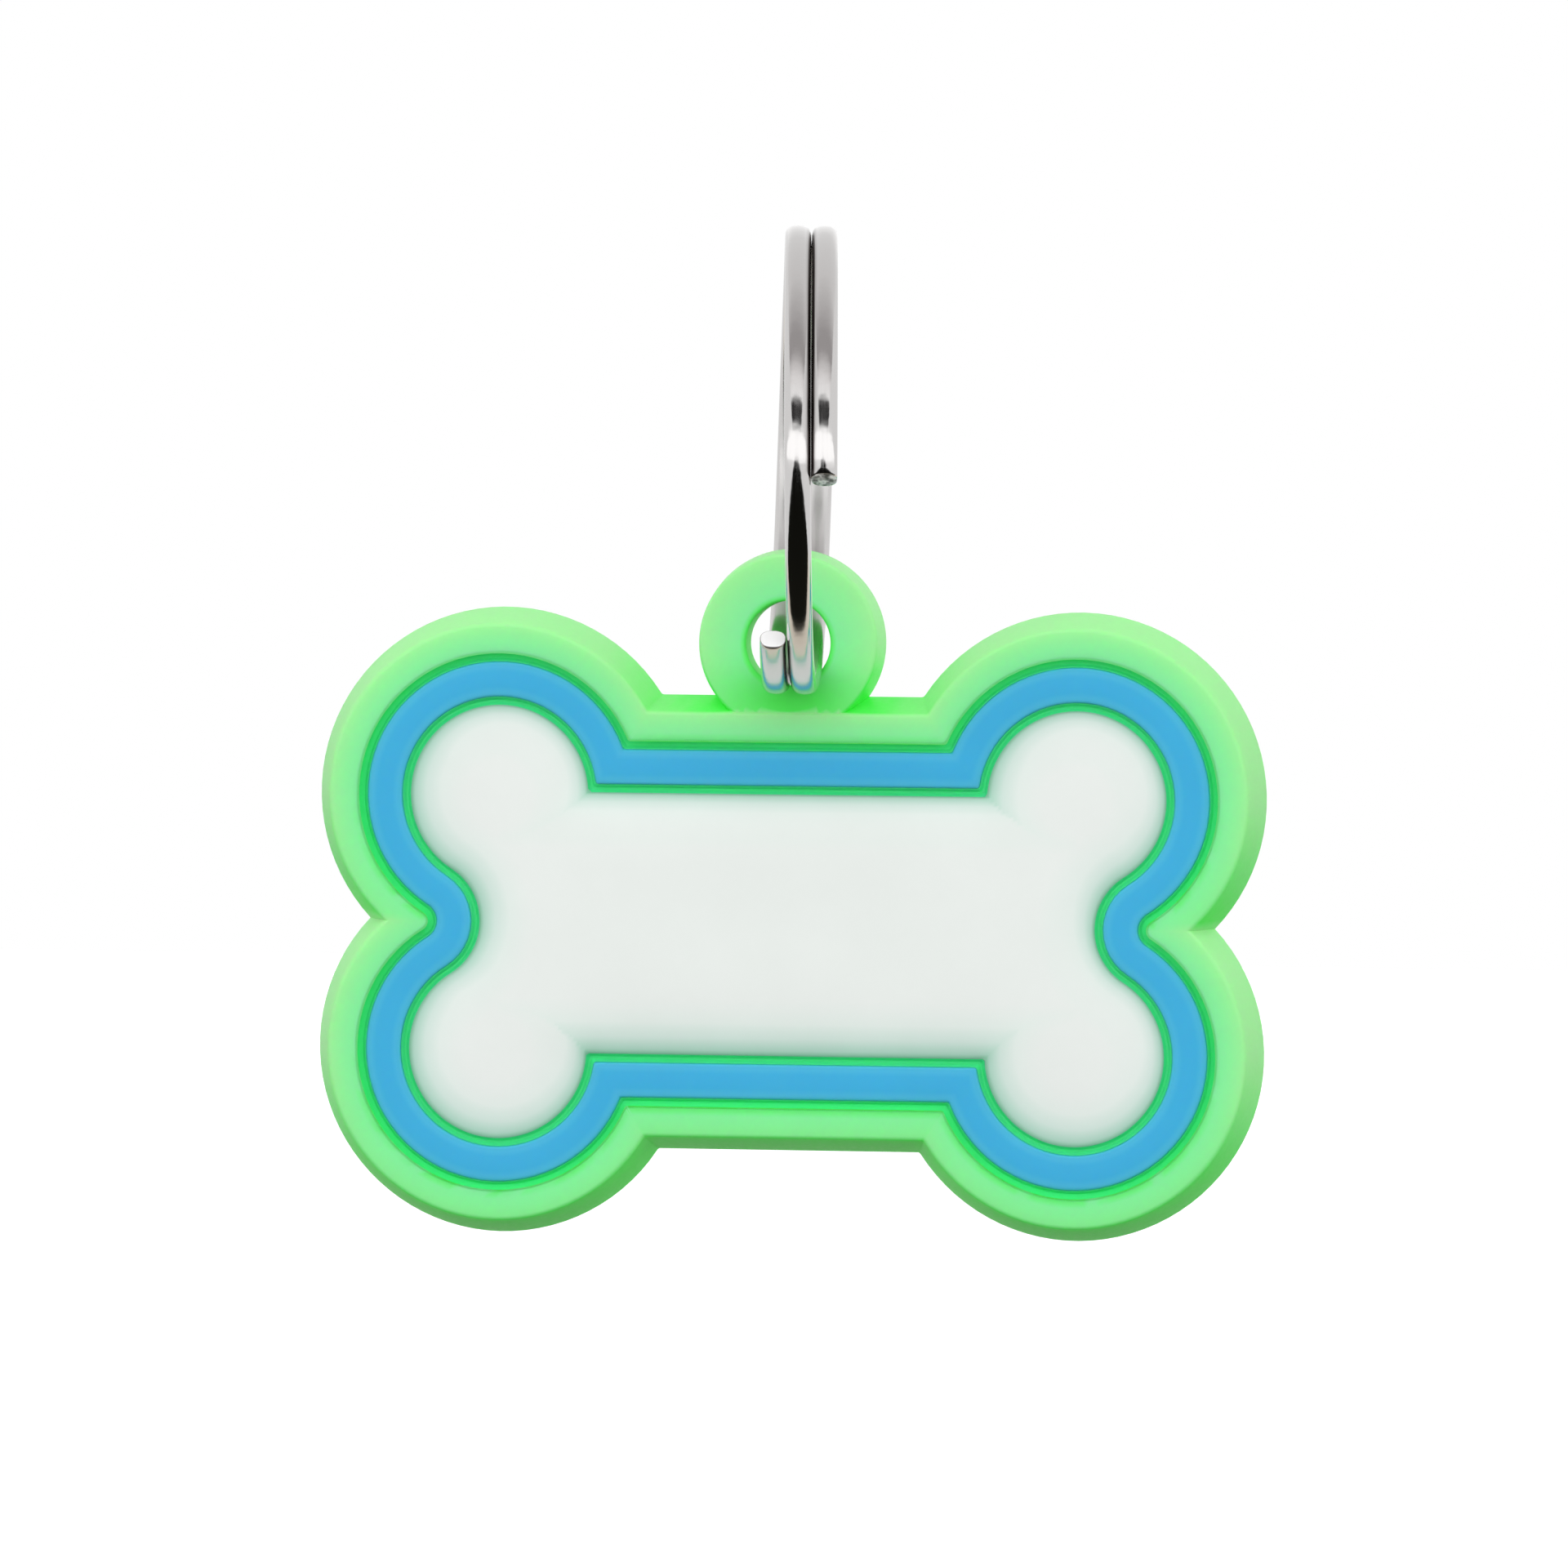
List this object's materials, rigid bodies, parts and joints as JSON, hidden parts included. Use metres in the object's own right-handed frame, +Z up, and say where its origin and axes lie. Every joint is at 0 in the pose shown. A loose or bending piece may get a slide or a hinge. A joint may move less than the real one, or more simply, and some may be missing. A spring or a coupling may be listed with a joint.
{
  "type": "pet id tag",
  "caption": "Bone-shaped soft PVC pet id tag with a coloured stripe along its outline, a blank name panel, a round ear on top, and a steel split ring for the collar.",
  "frame": {"origin": "the inside of the split ring at its top, where the ring hangs from a collar's loop", "axes": "+X across the tag, to the right as its face is looked at; the face looks along -Y; +Z up, from the tag to the ring"},
  "size_m": [0.0507, 0.025, 0.0541],
  "materials": {
    "green_pvc": "soft satin moulded PVC",
    "blue_pvc": "soft satin moulded PVC",
    "white_pvc": "soft satin moulded PVC",
    "nickel_steel": "bright nickel plating"
  },
  "bodies": {
    "ring": {"split_ring": "nickel_steel"},
    "tag": {"tag_body": "green_pvc", "colour_band": "blue_pvc", "name_panel": "white_pvc"}
  },
  "joints": [
    {"name": "tag_swing", "type": "hinge", "parent": "ring", "child": "tag", "pos_m": [-0.00141, 0.00601, -0.02129], "axis": [0, 1, 0], "range_deg": [-78, 78]}
  ]
}
